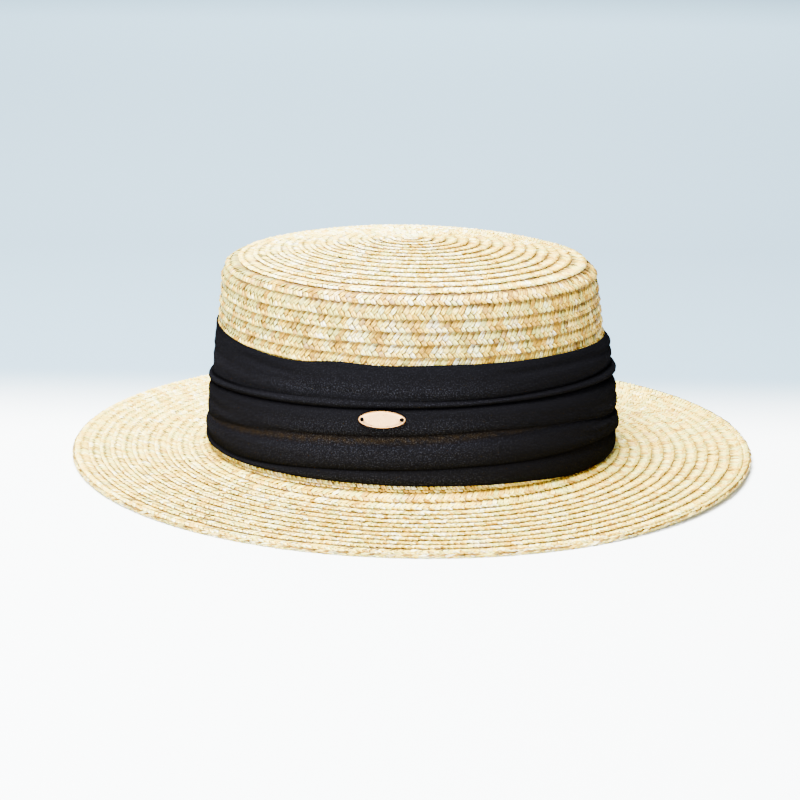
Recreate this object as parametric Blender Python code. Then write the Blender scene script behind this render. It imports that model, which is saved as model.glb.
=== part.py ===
"""A straw boater hat: sewn braid crown and brim, a folded cloth band and an oval metal plate.

Metres, +Z up. The origin is on the table under the middle of the brim. The front of the hat,
with the plate, faces -Y, and its left side as seen from the front is -X.
"""
import math

import bmesh
import bpy

# Straw and head opening
HEAD_WIDTH = 0.182  # inside the foot of the crown, side to side
HEAD_LENGTH = 0.183  # inside the foot of the crown, front to back
STRAW_WALL = 0.002
ROW_PITCH = 0.0053  # from one sewn row of braid to the next
ROW_STEP = 0.0006  # a row's free edge stands this far over the next row
ROW_RISER = 0.0003  # width of the slope that ends a row
BRAID_WIDTH = 0.007  # the whole braid, which only the outermost row shows

# Crown
SIDE_HEIGHT = 0.0895  # where the side and the tip would meet if the shoulder were sharp
SIDE_INSET = 0.0073  # how far the side leans in between foot and shoulder
SIDE_CURVE = 1.17  # 1 is a straight lean, and more leans later
SHOULDER_RADIUS = 0.009
TIP_RISE = 0.0107  # the tip is a low dome
TOP_SHIFT = -0.0022  # the top stands a little to one side of the foot

# Brim
BRIM_REACH_SIDE = 0.0633  # from the crown's foot to the edge
BRIM_REACH_END = 0.0648
FOOT_RISE_END = 0.0055  # how high the brim turns up to the crown, front and back
FOOT_RISE_SIDE = 0.0025
TURN_REACH = 0.016  # how far out the turned up part of the brim goes
TURN_POWER = 3
EDGE_LIFT_LEFT = 0.001  # the edge stands off the table here, and rests front and back
EDGE_LIFT_RIGHT = 0.0028
RESTING_SHARE = 0.45  # cosine of the angle where the edge leaves the table

# Band
BAND_FOOT = 0.0018  # from the brim's straw up to the band
BAND_TOP_FRONT = 0.060
BAND_TOP_BACK = 0.055
BAND_TOP_LEFT = 0.058
BAND_TOP_RIGHT = 0.0523
BAND_CLOTH = 0.001
BAND_FOLD = 0.0011  # depth of the deepest fold

# Plate
PLATE_LENGTH = 0.0204
PLATE_HEIGHT = 0.0077
PLATE_THICKNESS = 0.0007
PLATE_MIDDLE_HEIGHT = 0.0381
PLATE_ASIDE = -0.0128  # from the hat's middle
PLATE_TILT = math.radians(2.0)
THREAD_HOLE = 0.0017
THREAD_HOLE_SPACING = 0.0168

CLEARANCE = 0.0003  # between pieces that touch on the real hat

SEGMENTS = 56  # round the hat
LINE_STEPS = 24  # points that a stretch of the crown's line is worked out at
PLATE_SEGMENTS = 32
HOLE_SEGMENTS = 10
SMOOTH_ANGLE = math.radians(40)

# Folds of the band, bottom to top. The columns are shares: height at the front and back,
# height at the sides, and how full the fold is.
BAND_FOLDS = (
    (0.00, 0.00, 0.20),
    (0.06, 0.07, 0.75),
    (0.17, 0.20, 0.35),
    (0.30, 0.32, 1.00),
    (0.45, 0.42, 0.65),
    (0.56, 0.48, 1.00),
    (0.66, 0.57, 0.20),
    (0.76, 0.70, 0.90),
    (0.92, 0.88, 0.60),
    (1.00, 1.00, 0.10),
)
BAND_BACKING = (1.0, 0.67, 0.33, 0.0)  # shares of the band's height where its inside is drawn
CROWN_LINING = (0.30, 0.60, 0.85)  # shares of the tip's radius where the inside is drawn
TURN_UNDERSIDE = (1.0, 0.6, 0.3)  # shares of the brim's turn where its underside is drawn

FOOT_HALF_WIDTH = HEAD_WIDTH / 2 + STRAW_WALL
FOOT_HALF_LENGTH = HEAD_LENGTH / 2 + STRAW_WALL
LENGTH_RATIO = FOOT_HALF_LENGTH / FOOT_HALF_WIDTH
FOOT_TOP = FOOT_RISE_END + STRAW_WALL
SHOULDER_BASE = SIDE_HEIGHT - SHOULDER_RADIUS


def angles():
    """Directions round the hat, from the right-hand side on towards the back."""
    return [2 * math.pi * i / SEGMENTS for i in range(SEGMENTS)]


def around(angle, right, back, left, front):
    """A smooth value round the hat that has the given values at its four sides."""
    mean = (right + back + left + front) / 4
    sideways = (right - left) / 2 * math.cos(angle)
    lengthways = (back - front) / 2 * math.sin(angle)
    across = (right + left - back - front) / 4 * math.cos(2 * angle)
    return mean + sideways + lengthways + across


def side_radius(height):
    """Half-width of the crown's side at a height, at the free edges of its rows."""
    share = max(0.0, (height - FOOT_TOP) / (SHOULDER_BASE - FOOT_TOP))
    return FOOT_HALF_WIDTH - SIDE_INSET * share ** SIDE_CURVE


def shift(height):
    """How far the hat's middle has moved sideways at a height."""
    return TOP_SHIFT * max(0.0, height - FOOT_TOP) / (SIDE_HEIGHT - FOOT_TOP)


def foot_rise(angle):
    """Height of the brim's underside where it meets the crown."""
    return around(angle, FOOT_RISE_SIDE, FOOT_RISE_END, FOOT_RISE_SIDE, FOOT_RISE_END)


def crown_line():
    """The crown's outside as (radius, height), from the middle of the tip to the foot's top."""
    top_radius = side_radius(SHOULDER_BASE)
    slope = math.atan(2 * TIP_RISE * (top_radius - SHOULDER_RADIUS) / top_radius ** 2)
    tip_end = top_radius - SHOULDER_RADIUS * (1 - math.sin(slope))
    tip_end_height = SHOULDER_BASE + SHOULDER_RADIUS * math.cos(slope)
    line = []
    for i in range(LINE_STEPS):
        radius = tip_end * i / LINE_STEPS
        rise = TIP_RISE * (tip_end ** 2 - radius ** 2) / top_radius ** 2
        line.append((radius, tip_end_height + rise))
    for i in range(LINE_STEPS + 1):
        turn = (math.pi / 2 - slope) * (1 - i / LINE_STEPS)
        radius = top_radius - SHOULDER_RADIUS * (1 - math.cos(turn))
        line.append((radius, SHOULDER_BASE + SHOULDER_RADIUS * math.sin(turn)))
    for i in range(1, LINE_STEPS + 1):
        height = SHOULDER_BASE + (FOOT_TOP - SHOULDER_BASE) * i / LINE_STEPS
        line.append((side_radius(height), height))
    return line


def brim_line(steps=4 * LINE_STEPS):
    """The brim's top as (reach from the crown's foot, height), where it turns up highest."""
    line = []
    for i in range(steps + 1):
        reach = CLEARANCE + (BRIM_REACH_SIDE - CLEARANCE) * i / steps
        line.append((reach, STRAW_WALL + FOOT_RISE_END * turn_share(reach)))
    return line


def turn_share(reach):
    """How much of the brim's turn-up is left at a distance from the crown's foot."""
    return max(0.0, 1 - reach / TURN_REACH) ** TURN_POWER


def lengths(line):
    """Distance along a line of (across, up) points, at each of its points."""
    total = [0.0]
    for a, b in zip(line, line[1:]):
        total.append(total[-1] + math.dist(a, b))
    return total


def along(line, distance, inset=0.0):
    """The point a distance along a line, sunk square to it by an inset."""
    total = lengths(line)
    k = 1
    while k < len(line) - 1 and total[k] < distance:
        k += 1
    a, b = line[k - 1], line[k]
    span = total[k] - total[k - 1]
    share = (distance - total[k - 1]) / span
    across, up = (b[0] - a[0]) / span, (b[1] - a[1]) / span
    return (a[0] + across * span * share + up * inset, a[1] + up * span * share - across * inset)


def crown_ring(radius, height):
    """An oval ring of the crown. At the foot the ring follows the brim's turn-up."""
    ring = []
    for angle in angles():
        x = radius * math.cos(angle) + shift(height)
        y = radius * LENGTH_RATIO * math.sin(angle)
        ring.append((x, y, height))
    return ring


def foot_ring(radius):
    """The crown's lowest ring, level with the brim's underside."""
    return [(x, y, foot_rise(angle)) for angle, (x, y, _) in zip(angles(), crown_ring(radius, 0.0))]


def brim_ring(reach, above_underside):
    """A ring of the brim at a distance from the crown's foot, and a height over its underside."""
    ring = []
    for angle in angles():
        share = (reach - CLEARANCE) / (BRIM_REACH_SIDE - CLEARANCE)
        end_reach = CLEARANCE + share * (BRIM_REACH_END - CLEARANCE)
        x = (FOOT_HALF_WIDTH + reach) * math.cos(angle)
        y = (FOOT_HALF_LENGTH + end_reach) * math.sin(angle)
        lift = EDGE_LIFT_RIGHT if math.cos(angle) > 0 else EDGE_LIFT_LEFT
        off_table = max(0.0, (abs(math.cos(angle)) - RESTING_SHARE) / (1 - RESTING_SHARE))
        out = max(0.0, reach - TURN_REACH) / (BRIM_REACH_SIDE - TURN_REACH)
        underside = foot_rise(angle) * turn_share(reach) + lift * off_table * out
        ring.append((x, y, underside + above_underside))
    return ring


def band_height(angle, share_end, share_side):
    """A height on the band, from its shares at the front and back and at the sides."""
    bottom = foot_rise(angle) + STRAW_WALL + BAND_FOOT
    top = around(angle, BAND_TOP_RIGHT, BAND_TOP_BACK, BAND_TOP_LEFT, BAND_TOP_FRONT)
    share = share_side + (share_end - share_side) * math.sin(angle) ** 2
    return bottom + (top - bottom) * share


def band_ring(share_end, share_side, proud):
    """A ring of the band that stands proud of the crown's side."""
    ring = []
    for angle in angles():
        height = band_height(angle, share_end, share_side)
        radius = side_radius(height) + proud
        x = radius * math.cos(angle) + shift(height)
        ring.append((x, radius * LENGTH_RATIO * math.sin(angle), height))
    return ring


def add_object(name, mesh_maker, material):
    """Link a mesh that closes on itself as a named object, with its faces pointing out."""
    bm = bmesh.new()
    mesh_maker(bm)
    bmesh.ops.recalc_face_normals(bm, faces=bm.faces)
    mesh = bpy.data.meshes.new(name)
    bm.to_mesh(mesh)
    bm.free()
    mesh.shade_smooth()
    mesh.set_sharp_from_angle(angle=SMOOTH_ANGLE)
    mesh.materials.append(material)
    obj = bpy.data.objects.new(name, mesh)
    bpy.context.collection.objects.link(obj)
    return obj


def skin(bm, rings):
    """Join a row of rings with faces. A ring of one point is a pole."""
    verts = [[bm.verts.new(point) for point in ring] for ring in rings]
    for lower, upper in zip(verts, verts[1:]):
        for i in range(SEGMENTS):
            j = (i + 1) % SEGMENTS
            corners = []
            for vert in (lower[i % len(lower)], lower[j % len(lower)],
                         upper[j % len(upper)], upper[i % len(upper)]):
                if vert not in corners:
                    corners.append(vert)
            bm.faces.new(corners)
    return verts


def make_crown(bm):
    """Tip, shoulder and side in one wall, with a step at each row of braid above the band."""
    line = crown_line()
    total = lengths(line)
    low_band_top = min(BAND_TOP_FRONT, BAND_TOP_BACK, BAND_TOP_LEFT, BAND_TOP_RIGHT)
    rings = [[(shift(line[0][1]), 0.0, line[0][1])]]
    distance = ROW_PITCH
    while distance < total[-1] and along(line, distance)[1] > low_band_top - ROW_PITCH:
        rings.append(crown_ring(*along(line, distance)))
        rings.append(crown_ring(*along(line, distance + ROW_RISER, ROW_STEP)))
        distance += ROW_PITCH
    rings.pop()
    rings.append(crown_ring(*line[-1]))
    rings.append(foot_ring(FOOT_HALF_WIDTH))
    rings.append(foot_ring(FOOT_HALF_WIDTH - STRAW_WALL))
    shoulder_ends = total[LINE_STEPS], total[2 * LINE_STEPS]
    inside = [share * shoulder_ends[0] for share in CROWN_LINING]
    inside += [shoulder_ends[0], sum(shoulder_ends) / 2, shoulder_ends[1]]
    inside += [(shoulder_ends[1] + total[-1]) / 2, total[-1]]
    for distance in reversed(inside):
        rings.append(crown_ring(*along(line, distance, STRAW_WALL)))
    rings.append([(shift(line[0][1]), 0.0, line[0][1] - STRAW_WALL)])
    skin(bm, rings)


def make_brim(bm):
    """The flat brim, turned up to the crown, with a step at each row of braid."""
    line = brim_line()
    total = lengths(line)
    edges = []
    distance = total[-1] - BRAID_WIDTH
    while distance > ROW_RISER:
        edges.append(distance)
        distance -= ROW_PITCH
    rings = [brim_ring(line[0][0], 0.0), brim_ring(line[0][0], STRAW_WALL)]
    for distance in reversed(edges):
        rings.append(brim_ring(along(line, distance)[0], STRAW_WALL))
        rings.append(brim_ring(along(line, distance + ROW_RISER)[0], STRAW_WALL - ROW_STEP))
    rings.append(brim_ring(BRIM_REACH_SIDE, STRAW_WALL))
    rings.append(brim_ring(BRIM_REACH_SIDE, 0.0))
    for share in TURN_UNDERSIDE:
        rings.append(brim_ring(TURN_REACH * share, 0.0))
    verts = skin(bm, rings)
    bridge(bm, verts[-1], verts[0])


def make_band(bm):
    """A folded cloth band. Its inside lies on the crown."""
    rings = []
    for share_end, share_side, fullness in BAND_FOLDS:
        rings.append(band_ring(share_end, share_side, CLEARANCE + BAND_CLOTH + BAND_FOLD * fullness))
    for share in BAND_BACKING:
        rings.append(band_ring(share, share, CLEARANCE))
    verts = skin(bm, rings)
    bridge(bm, verts[-1], verts[0])


def bridge(bm, last, first):
    """Join the last ring of a wall to its first."""
    for i in range(SEGMENTS):
        j = (i + 1) % SEGMENTS
        bm.faces.new((last[i], last[j], first[j], first[i]))


def plate_point(aside, up, out):
    """A point of the plate, bent round the hat in front of the band."""
    turned_aside = aside * math.cos(PLATE_TILT) - up * math.sin(PLATE_TILT)
    height = PLATE_MIDDLE_HEIGHT + aside * math.sin(PLATE_TILT) + up * math.cos(PLATE_TILT)
    on_band = side_radius(PLATE_MIDDLE_HEIGHT) + CLEARANCE + BAND_CLOTH + BAND_FOLD
    middle = math.asin((PLATE_ASIDE - shift(PLATE_MIDDLE_HEIGHT)) / on_band)
    angle = middle + turned_aside / on_band - math.pi / 2
    radius = side_radius(height) + CLEARANCE + BAND_CLOTH + BAND_FOLD + CLEARANCE + out
    return (radius * math.cos(angle) + shift(height), radius * LENGTH_RATIO * math.sin(angle), height)


def make_plate(bm):
    """A thin oval plate with a hole near each end for the thread that holds it."""
    outlines = [(0.0, PLATE_LENGTH / 2, PLATE_HEIGHT / 2, PLATE_SEGMENTS)]
    for side in (-1, 1):
        outlines.append((side * THREAD_HOLE_SPACING / 2, THREAD_HOLE / 2, THREAD_HOLE / 2, HOLE_SEGMENTS))
    flat = bmesh.new()
    edges = []
    for middle, half_length, half_height, segments in outlines:
        loop = []
        for i in range(segments):
            angle = 2 * math.pi * i / segments
            loop.append(flat.verts.new((middle + half_length * math.cos(angle),
                                        half_height * math.sin(angle), 0.0)))
        edges += [flat.edges.new((loop[i - 1], loop[i])) for i in range(segments)]
    bmesh.ops.triangle_fill(flat, use_beauty=True, edges=edges)
    copies = []
    for out in (0.0, PLATE_THICKNESS):
        copies.append({v: bm.verts.new(plate_point(v.co.x, v.co.y, out)) for v in flat.verts})
    for face in flat.faces:
        for copy in copies:
            bm.faces.new([copy[v] for v in face.verts])
    for edge in flat.edges:
        if edge.is_boundary:
            a, b = edge.verts
            bm.faces.new((copies[0][a], copies[0][b], copies[1][b], copies[1][a]))
    flat.free()


def make_material(name, colour, roughness, metallic=0.0):
    """A plain Principled material."""
    material = bpy.data.materials.new(name)
    material.use_nodes = True
    shader = material.node_tree.nodes["Principled BSDF"]
    shader.inputs["Base Color"].default_value = (*colour, 1.0)
    shader.inputs["Roughness"].default_value = roughness
    shader.inputs["Metallic"].default_value = metallic
    return material


def build_hat():
    """Make the four pieces."""
    for obj in list(bpy.data.objects):
        bpy.data.objects.remove(obj)
    straw = make_material("straw_braid", (0.78, 0.62, 0.36), 0.55)
    cloth = make_material("black_cloth", (0.010, 0.010, 0.013), 0.8)
    metal = make_material("rose_gold", (0.86, 0.66, 0.52), 0.25, 1.0)
    add_object("crown", make_crown, straw)
    add_object("brim", make_brim, straw)
    add_object("band", make_band, cloth)
    add_object("oval_plate", make_plate, metal)


build_hat()
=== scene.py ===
"""Looks of a straw boater hat: plaited straw in sewn rows, a folded crepe band, an oval plate.

Metres, +Z up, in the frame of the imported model. The front of the hat faces -Y.
"""
import math

import bpy
import numpy as np
from mathutils import Matrix, Vector


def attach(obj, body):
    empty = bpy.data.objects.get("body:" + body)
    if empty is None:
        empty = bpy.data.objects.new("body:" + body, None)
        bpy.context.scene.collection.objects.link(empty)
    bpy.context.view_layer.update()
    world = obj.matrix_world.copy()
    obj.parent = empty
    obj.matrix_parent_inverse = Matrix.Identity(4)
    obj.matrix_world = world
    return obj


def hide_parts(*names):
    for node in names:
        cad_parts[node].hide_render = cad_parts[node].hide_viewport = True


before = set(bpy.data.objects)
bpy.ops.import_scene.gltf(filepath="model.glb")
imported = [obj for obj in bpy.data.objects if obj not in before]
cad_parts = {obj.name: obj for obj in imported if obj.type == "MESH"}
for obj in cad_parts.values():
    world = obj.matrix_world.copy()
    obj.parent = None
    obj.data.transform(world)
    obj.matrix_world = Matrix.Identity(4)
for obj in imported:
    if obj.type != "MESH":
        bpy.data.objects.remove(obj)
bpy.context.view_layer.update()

MM = 0.001
rng = np.random.default_rng(7)

# The hat's own sizes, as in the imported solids
FOOT_HALF_WIDTH = 93.0 * MM
FOOT_HALF_LENGTH = 93.5 * MM
LENGTH_RATIO = FOOT_HALF_LENGTH / FOOT_HALF_WIDTH
STRAW_WALL = 2.0 * MM
SIDE_HEIGHT = 89.5 * MM
SIDE_INSET = 7.3 * MM
SIDE_CURVE = 1.17
SHOULDER_RADIUS = 9.0 * MM
TIP_RISE = 10.7 * MM
TOP_SHIFT = -2.2 * MM
BRIM_REACH_SIDE = 63.3 * MM
BRIM_REACH_END = 64.8 * MM
FOOT_RISE_END = 5.5 * MM
FOOT_RISE_SIDE = 2.5 * MM
TURN_REACH = 16.0 * MM
TURN_POWER = 3
EDGE_LIFT_LEFT = 1.0 * MM
EDGE_LIFT_RIGHT = 2.8 * MM
RESTING_SHARE = 0.45
FOOT_TOP = FOOT_RISE_END + STRAW_WALL
SHOULDER_BASE = SIDE_HEIGHT - SHOULDER_RADIUS
# How unevenly the straw lies, along a line and square to it
WAVE_ALONG, WAVE_DEPTH = 0.25 * MM, 0.08 * MM
# The brim's upright edge: its top, how far it is set in, how round it is and how uneven
RIM_TOP, RIM_INSET, RIM_ROUNDING, RIM_WAVE = 1.95 * MM, 0.15 * MM, 0.35 * MM, 0.1 * MM

# Braid
BRAID = 7.0 * MM  # full width of the plait
OVERLAP = 1.75 * MM  # how much of a row lies under the row before
COLUMN = 2.55 * MM  # from one strand to the next along a row
STEP = 1.15 * MM  # how far a row's free edge stands over the next row
CREST = 5.0 * MM  # where the strands turn, from the hidden edge of the plait
STRANDS = 7
LOWEST = 0.02 * MM  # no strand reaches lower
STRAW_LIFE = 70  # columns before a strand's straw is replaced
TONE = 0.54  # how light the straw is, between its darkest 0 and its lightest 1
STRAWS = rng.uniform(0, 1, (997, 3))  # how single straws differ
# Free edges of the rows in mm, in front, from the middle of the tip and from the crown's foot
CROWN_ROWS = (4.7, 10.0, 15.3, 20.7, 25.8, 31.0, 36.3, 41.7, 46.9, 52.1, 57.2, 62.3, 67.4, 73.0, 80.2,
              87.2, 93.5, 98.7, 104.0, 109.3, 114.6, 119.9)
BRIM_ROWS = (1.5, 6.7, 11.9, 17.1, 22.2, 27.5, 32.7, 37.9, 42.9, 47.8, 52.6, 57.6, 63.4)
# The rows form one spiral: how far an edge moves in a turn, in mm
CROWN_TURN = 5.3
BRIM_TURN = ((0, 1.9), (90, 0.4), (180, 0.0), (270, -2.0), (360, -3.35))  # (degrees from the back, mm)


def around(angle, right, back, left, front):
    """A smooth value round the hat that has the given values at its four sides."""
    mean = (right + back + left + front) / 4
    turned = (right - left) / 2 * np.cos(angle) + (back - front) / 2 * np.sin(angle)
    return mean + turned + (right + left - back - front) / 4 * np.cos(2 * angle)


def side_radius(height):
    """Half-width of the crown's side at a height."""
    share = np.clip((height - FOOT_TOP) / (SHOULDER_BASE - FOOT_TOP), 0, None)
    return FOOT_HALF_WIDTH - SIDE_INSET * share ** SIDE_CURVE


def shift(height):
    """How far the hat's middle has moved sideways at a height."""
    return TOP_SHIFT * np.clip(height - FOOT_TOP, 0, None) / (SIDE_HEIGHT - FOOT_TOP)


def foot_rise(angle):
    """Height of the brim's underside where it meets the crown."""
    return around(angle, FOOT_RISE_SIDE, FOOT_RISE_END, FOOT_RISE_SIDE, FOOT_RISE_END)


def edge_lift(angle):
    """How far the brim's edge lifts off the table."""
    lift = np.where(np.cos(angle) > 0, EDGE_LIFT_RIGHT, EDGE_LIFT_LEFT)
    return lift * np.clip((np.abs(np.cos(angle)) - RESTING_SHARE) / (1 - RESTING_SHARE), 0, None)


def turn_share(reach):
    """How much of the brim's turn-up is left at a distance from the crown's foot."""
    return np.clip(1 - reach / TURN_REACH, 0, 1) ** TURN_POWER


class Line:
    """A line of (across, up) points with its lengths and its square outward direction."""

    def __init__(self, across, up):
        self.across, self.up = np.asarray(across), np.asarray(up)
        steps = np.hypot(np.diff(self.across), np.diff(self.up))
        self.length = np.concatenate(([0.0], np.cumsum(steps)))
        along = np.gradient(self.across, self.length), np.gradient(self.up, self.length)
        size = np.hypot(*along)
        self.out_across, self.out_up = -along[1] / size, along[0] / size
        self.total = self.length[-1]

    def at(self, distance, depth):
        """The point at a distance along the line, sunk square to it by a depth."""
        def read(values):
            return np.interp(distance, self.length, values)
        return (read(self.across) - depth * read(self.out_across),
                read(self.up) - depth * read(self.out_up))


def crown_line(steps=160):
    """The crown's outside from the middle of the tip to the top of the foot."""
    top = side_radius(SHOULDER_BASE)
    slope = math.atan(2 * TIP_RISE * (top - SHOULDER_RADIUS) / top ** 2)
    tip_end = top - SHOULDER_RADIUS * (1 - math.sin(slope))
    tip_end_height = SHOULDER_BASE + SHOULDER_RADIUS * math.cos(slope)
    tip = np.linspace(0, tip_end, steps, endpoint=False)
    turn = np.linspace(math.pi / 2 - slope, 0, steps)
    side = np.linspace(SHOULDER_BASE, FOOT_TOP, steps)[1:]
    across = (tip, top - SHOULDER_RADIUS * (1 - np.cos(turn)), side_radius(side))
    up = (tip_end_height + TIP_RISE * (tip_end ** 2 - tip ** 2) / top ** 2,
          SHOULDER_BASE + SHOULDER_RADIUS * np.sin(turn), side)
    return Line(np.concatenate(across), np.concatenate(up))


def brim_line(steps=400):
    """The brim's top from the crown's foot out to the edge, where it turns up highest."""
    reach = np.linspace(0, BRIM_REACH_SIDE, steps)
    return Line(reach, STRAW_WALL + FOOT_RISE_END * turn_share(reach))


CROWN = crown_line()
BRIM = brim_line()


def unevenness(distance, angle):
    """Small slow waves of the straw, in shares of their size."""
    return (np.sin(3 * angle + 90 * distance) * 0.5 + np.sin(7 * angle - 140 * distance + 1.3) * 0.3
            + np.sin(13 * angle + 210 * distance + 0.4) * 0.2)


def on_crown(distance, angle, depth):
    """Points of the crown, at a distance from the middle of the tip and a depth in the straw."""
    wave = unevenness(distance, angle) * np.clip(distance / (20 * MM), 0, 1)
    radius, height = CROWN.at(np.clip(distance + WAVE_ALONG * wave, 0, None), depth + WAVE_DEPTH * wave)
    radius = np.clip(radius, 0, None)
    foot = foot_rise(angle) - FOOT_RISE_END
    height = height + foot * np.clip(1 - (height - FOOT_TOP) / (8 * MM), 0, 1)
    return np.stack((radius * np.cos(angle) + shift(height),
                     radius * LENGTH_RATIO * np.sin(angle), height), -1)


def on_rim(distance, angle, depth):
    """Points of the brim's upright edge, at a distance down it and a depth in from it."""
    round_off = RIM_ROUNDING * (np.clip(np.abs(distance / (1.0 * MM) - 1), 0, 1.3) ** 2)
    reach = -RIM_INSET - depth - round_off
    height = edge_lift(angle) + RIM_TOP - distance + RIM_WAVE * unevenness(angle, 3 * angle)
    return np.stack(((FOOT_HALF_WIDTH + BRIM_REACH_SIDE + reach) * np.cos(angle),
                     (FOOT_HALF_LENGTH + BRIM_REACH_END + reach) * np.sin(angle), height), -1)


def on_brim(distance, angle, depth):
    """Points of the brim, at a distance from the crown's foot and a depth in the straw."""
    wave = unevenness(distance + 1, angle)
    reach, _ = BRIM.at(distance + WAVE_ALONG * wave, depth)
    level, _ = BRIM.at(distance, 0 * depth)
    share = reach / BRIM_REACH_SIDE
    out = np.clip(level - TURN_REACH, 0, None) / (BRIM_REACH_SIDE - TURN_REACH)
    height = STRAW_WALL + foot_rise(angle) * turn_share(level) + edge_lift(angle) * out
    height = height - depth * np.interp(distance, BRIM.length, BRIM.out_up)
    return np.stack(((FOOT_HALF_WIDTH + reach) * np.cos(angle),
                     (FOOT_HALF_LENGTH + share * BRIM_REACH_END) * np.sin(angle), height), -1)


def make_mesh(name, points, quads, triangles=None, smooth_angle=60):
    """A mesh object from arrays of points and of corner numbers."""
    triangles = np.zeros((0, 3), int) if triangles is None else triangles
    corners = np.concatenate((quads.ravel(), triangles.ravel())).astype(np.int32)
    sizes = np.concatenate((np.full(len(quads), 4), np.full(len(triangles), 3))).astype(np.int32)
    mesh = bpy.data.meshes.new(name)
    mesh.vertices.add(len(points))
    mesh.vertices.foreach_set("co", np.ascontiguousarray(points, np.float32).ravel())
    mesh.loops.add(len(corners))
    mesh.loops.foreach_set("vertex_index", corners)
    mesh.polygons.add(len(sizes))
    starts = np.concatenate(([0], np.cumsum(sizes)[:-1]))
    mesh.polygons.foreach_set("loop_start", starts.astype(np.int32))
    mesh.polygons.foreach_set("loop_total", sizes)
    mesh.update(calc_edges=True)
    mesh.validate()
    mesh.shade_smooth()
    mesh.set_sharp_from_angle(angle=math.radians(smooth_angle))
    obj = bpy.data.objects.new(name, mesh)
    bpy.context.collection.objects.link(obj)
    return obj


def add_colours(obj, name, values):
    """Store four numbers for each point."""
    layer = obj.data.color_attributes.new(name, "FLOAT_COLOR", "POINT")
    layer.data.foreach_set("color", np.ascontiguousarray(values, np.float32).ravel())


def add_flat_map(obj, flat):
    """Store where each point lies on its strand or cloth."""
    corners = np.zeros(len(obj.data.loops), np.int32)
    obj.data.loops.foreach_get("vertex_index", corners)
    layer = obj.data.uv_layers.new(name="flat")
    layer.data.foreach_set("uv", np.ascontiguousarray(flat[corners], np.float32).ravel())


def ring_grid(rings, closed=True):
    """Corner numbers of the quads between rings of equal size."""
    count, size = rings
    i, j = np.meshgrid(np.arange(count if closed else count - 1), np.arange(size), indexing="ij")
    k, m = (i + 1) % count, (j + 1) % size
    return np.stack((i * size + j, i * size + m, k * size + m, k * size + j), -1).reshape(-1, 4)


# Strands

# Where a strand's outline is drawn, in shares of its length and half-width
ALONG = np.array([0.0, 0.33, 0.50, 0.80, 1.0])
ACROSS = {"long": np.array([-1.0, 0.0, 1.0]), "short": np.array([-1.0, -0.72, 1.0])}
# How far it rises there: long legs dive at both ends, short legs curl down over the edge
RISE = {"long": np.array([-0.12, 0.02, 0.14, 0.14, -0.28]) * MM,
        "short": np.array([-0.22, 0.14, 0.22, 0.16, -0.22]) * MM}
# Across, a long leg has a shallow fold, and a short leg has one steep side
DIP = {"long": np.array([-0.04, -0.08, -0.04]) * MM, "short": np.array([-0.40, 0.24, -0.18]) * MM}
# Painted shade on the steep sides of the strands
SIDE_PAINTED_SHADE = {"long": np.array([0.15, 0.0, 0.15]), "short": np.array([1.0, 0.55, 0.0])}
LONG_WIDTH = np.array([0.95, 0.94, 0.93, 0.90, 0.66])
SHORT_WIDTH = np.array([0.70, 0.94, 0.96, 0.95])  # its free end comes from the look
FREE_END_ALONG = np.array([0, 0, 0, 0.05, 1.0])  # the free end is drawn back at its two sides
FREE_END_ACROSS = np.array([0.25, 0.0, 0.15])
SLOPE = 1.25  # rise of a leg over its run along the row
LEG_START = 1.0 * MM  # from the hidden edge of the plait to where the long legs start
LEG_LAP = 0.15 * MM  # how far a short leg starts under its long leg
# How unevenly strands lie: their corners, and their lift in all, across and along
CORNER_NOISE = 0.11 * MM
LIFT_NOISE, ROLL_NOISE, PITCH_NOISE = 0.07 * MM, 0.12 * MM, 0.20 * MM
INSIDE_DEPTH = STRAW_WALL - 0.25 * MM  # of the free edges on the inner face
INSIDE_RELIEF = 0.45  # of the relief outside

# A strand's tone is its lightness, its tint from pinker to greener, and how dull it is
TONE_SWING = 0.34  # how far the lightness swings from strand to strand of a row
STRAW_SPREAD = np.array([0.42, 0.8, 0.8])  # how much straws differ
STRAND_SPREAD = 0.22  # and strands of one straw
OLIVE = 0.8  # how much greener the strands with painted shade at the left are

# How a braid looks where nothing else is said
BRAID_LOOK = dict(
    patchy=1.0,  # how much the tone changes along a row
    light=0.0,  # added to the lightness
    shade={"long": (0.0, 0.0), "short": (0.0, 0.0)},  # painted shade: how much darker at the left and right
    cool=0.0,  # painted shade: how much greener at the right
    line=1.0,  # painted shadow: how dark strands are near the row before
    faint=0.35,  # the least share of that, which is random
    dots=(1.0, 1.0, 1.0),  # how it is shared out across a long leg
    dive=0.33,  # how far along a long leg it reaches
    reach=0.15,  # how much of that painted shadow a long leg still has halfway
    fold=1.0,  # painted shade on the steep sides of the strands
    end=0.55,  # painted shade on the free ends
    end_width=0.90,  # how wide the free ends are
    fill=1.08,  # how wide the long legs are
    uneven=1.0,  # how unevenly the strands lie
    stand=STEP,  # how far the free edge stands over the hidden one
)
# In these looks shade, cool, line, fold and end give painted shade and shadow
TIP_LOOK = dict(patchy=0.7, light=0.17, shade={"long": (0.0, 0.28), "short": (0.0, 0.16)}, line=0.78,
                faint=0.4, dots=(0.6, 0.9, 1.2), fold=0.35, end_width=0.75, uneven=0.55)
SIDE_LOOK = dict(patchy=1.25, shade={"long": (1.3, 0.29), "short": (0.24, 0.35)}, line=1.2, faint=0.6,
                 dots=(0.5, 0.9, 1.3), dive=0.43, reach=0.45, end=0.5, end_width=0.5, fill=1.0)
BRIM_LOOK = dict(patchy=0.5, light=0.07, shade={"long": (0.06, 0.27), "short": (0.0, 0.17)}, cool=0.28,
                 line=0.95, dots=(0.25, 0.8, 1.6), fold=0.45, end_width=0.6, uneven=0.65)
EDGING_LOOK = dict(patchy=0.5, light=0.07, line=2.0, faint=0.0, dive=0.49, reach=0.7, stand=0.0)


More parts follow.
